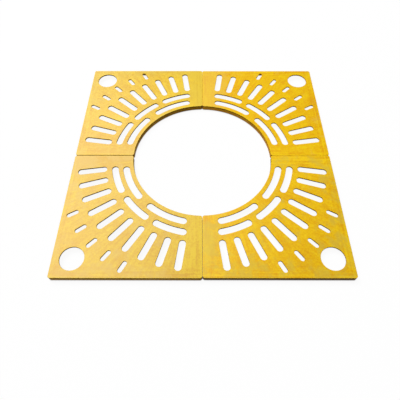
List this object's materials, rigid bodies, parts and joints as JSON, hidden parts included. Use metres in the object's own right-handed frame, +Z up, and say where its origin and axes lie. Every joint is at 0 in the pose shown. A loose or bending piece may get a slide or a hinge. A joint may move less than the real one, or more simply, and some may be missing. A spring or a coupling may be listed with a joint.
{
  "type": "tree grate",
  "caption": "Square slotted steel tree grate in quarter panels round a large round trunk opening, each a thin plate on a flat-bar rim, with a round hole near each corner.",
  "frame": {"origin": "middle of the grate on the plane it rests on, under the centre of the trunk opening", "axes": "+Z up, +X to the right and +Y to the rear, along the seams between the panels"},
  "size_m": [0.9998, 1.0014, 0.02],
  "materials": {
    "plate": "yellow passivated zinc plate on steel, satin, cloudy",
    "rim_bar": "yellow passivated zinc plate on steel flat bar, satin"
  },
  "bodies": {
    "root": {"rear_right_plate": "plate", "rear_right_bar_facing_right": "rim_bar", "rear_right_bar_facing_rear": "rim_bar", "rear_right_bar_facing_left": "rim_bar", "rear_right_bar_facing_front": "rim_bar", "rear_right_bar_facing_opening": "rim_bar", "rear_left_plate": "plate", "rear_left_bar_facing_right": "rim_bar", "rear_left_bar_facing_rear": "rim_bar", "rear_left_bar_facing_left": "rim_bar", "rear_left_bar_facing_front": "rim_bar", "rear_left_bar_facing_opening": "rim_bar", "front_left_plate": "plate", "front_left_bar_facing_right": "rim_bar", "front_left_bar_facing_rear": "rim_bar", "front_left_bar_facing_left": "rim_bar", "front_left_bar_facing_front": "rim_bar", "front_left_bar_facing_opening": "rim_bar", "front_right_plate": "plate", "front_right_bar_facing_right": "rim_bar", "front_right_bar_facing_rear": "rim_bar", "front_right_bar_facing_left": "rim_bar", "front_right_bar_facing_front": "rim_bar", "front_right_bar_facing_opening": "rim_bar"}
  },
  "joints": []
}
